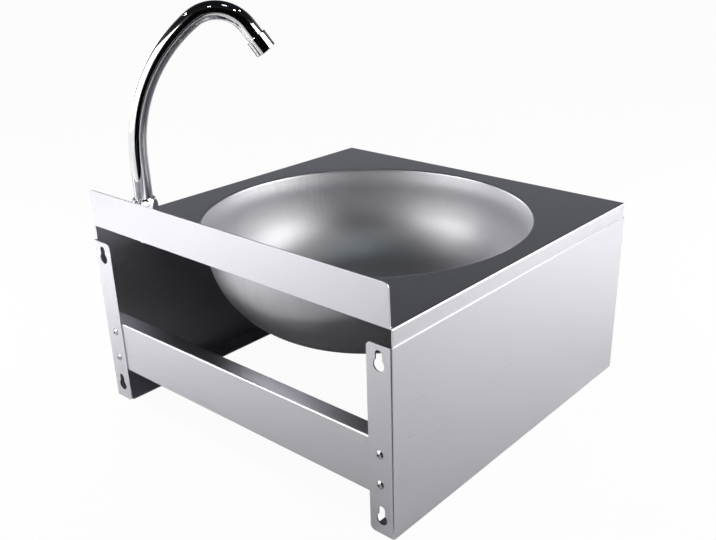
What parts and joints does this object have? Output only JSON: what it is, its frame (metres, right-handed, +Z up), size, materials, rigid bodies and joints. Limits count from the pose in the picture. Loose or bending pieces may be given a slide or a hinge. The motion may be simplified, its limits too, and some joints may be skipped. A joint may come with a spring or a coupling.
{
  "type": "hand basin",
  "caption": "Square wall-hung steel hand basin with a round pressed bowl, rear upstand, swivelling swan-neck spout and a hinged front panel that works the water valve by knee.",
  "frame": {"origin": "below the middle of the basin, level with the underside of the bottom flanges", "axes": "+Z up, +Y towards the wall, +X to the right of a user who faces the wall"},
  "size_m": [0.4024, 0.4016, 0.4187],
  "materials": {
    "aerator_housing": "polished",
    "aerator_insert": "matt",
    "aerator_washer": "matt",
    "bowl": "satin",
    "coupling_nut": "polished",
    "deck": "satin",
    "hinge_clips": "satin",
    "hinge_rod": "satin",
    "knee_panel": "satin",
    "left_hinge_bracket": "satin",
    "left_side_panel": "satin",
    "lower_waste_seal": "matt",
    "panel_buffers": "matt",
    "piston_seal": "matt",
    "push_button": "polished",
    "rail_rivets": "satin",
    "rear_rail": "satin",
    "right_hinge_bracket": "satin",
    "right_side_panel": "satin",
    "spout_bush": "matt",
    "spout_seals": "matt",
    "spout_tube": "polished",
    "strainer_plate": "polished",
    "strainer_screw": "satin",
    "tap_base_seal": "matt",
    "tap_clamp_washer": "satin",
    "tap_lock_nut": "polished",
    "tap_shank": "polished",
    "upper_waste_seal": "matt",
    "valve_body": "machined",
    "valve_bonnet": "machined",
    "valve_bracket": "satin",
    "valve_lock_nut": "machined",
    "valve_spring": "drawn wire",
    "valve_stem": "machined",
    "waste_flange": "polished",
    "waste_lock_nut": "matt"
  },
  "bodies": {
    "casing": {"deck": "deck", "bowl": "bowl", "left_side_panel": "left_side_panel", "right_side_panel": "right_side_panel", "rear_rail": "rear_rail", "left_hinge_bracket": "left_hinge_bracket", "right_hinge_bracket": "right_hinge_bracket", "valve_bracket": "valve_bracket", "rail_rivets": "rail_rivets", "hinge_rod": "hinge_rod", "hinge_clips": "hinge_clips", "strainer_screw": "strainer_screw", "tap_clamp_washer": "tap_clamp_washer", "waste_flange": "waste_flange", "strainer_plate": "strainer_plate", "coupling_nut": "coupling_nut", "tap_shank": "tap_shank", "tap_lock_nut": "tap_lock_nut", "valve_body": "valve_body", "valve_bonnet": "valve_bonnet", "valve_lock_nut": "valve_lock_nut", "panel_buffers": "panel_buffers", "upper_waste_seal": "upper_waste_seal", "lower_waste_seal": "lower_waste_seal", "tap_base_seal": "tap_base_seal", "spout_seals": "spout_seals", "waste_lock_nut": "waste_lock_nut", "spout_bush": "spout_bush", "valve_spring": "valve_spring"},
    "knee_panel": {"knee_panel": "knee_panel"},
    "plunger": {"push_button": "push_button", "valve_stem": "valve_stem", "piston_seal": "piston_seal"},
    "spout": {"spout_tube": "spout_tube", "aerator_housing": "aerator_housing", "aerator_washer": "aerator_washer", "aerator_insert": "aerator_insert"}
  },
  "joints": [
    {"name": "knee_panel_swing", "type": "hinge", "parent": "casing", "child": "knee_panel", "pos_m": [0, -0.18594, 0.18], "axis": [1, 0, 0], "range_deg": [0, 3.2]},
    {"name": "button_slide", "type": "slide", "parent": "casing", "child": "plunger", "axis": [0, 1, 0], "range_m": [0, 0.009], "stiffness_N_per_m": 1500, "springref_m": -0.006, "deforming": ["valve_spring"]},
    {"name": "spout_swivel", "type": "hinge", "parent": "casing", "child": "spout", "pos_m": [0.1605, 0.15966, 0.21], "axis": [0, 0, 1], "continuous": true}
  ],
  "couplings": [
    {"joint": "button_slide", "follows": "knee_panel_swing", "m_per_rad": 0.156}
  ]
}
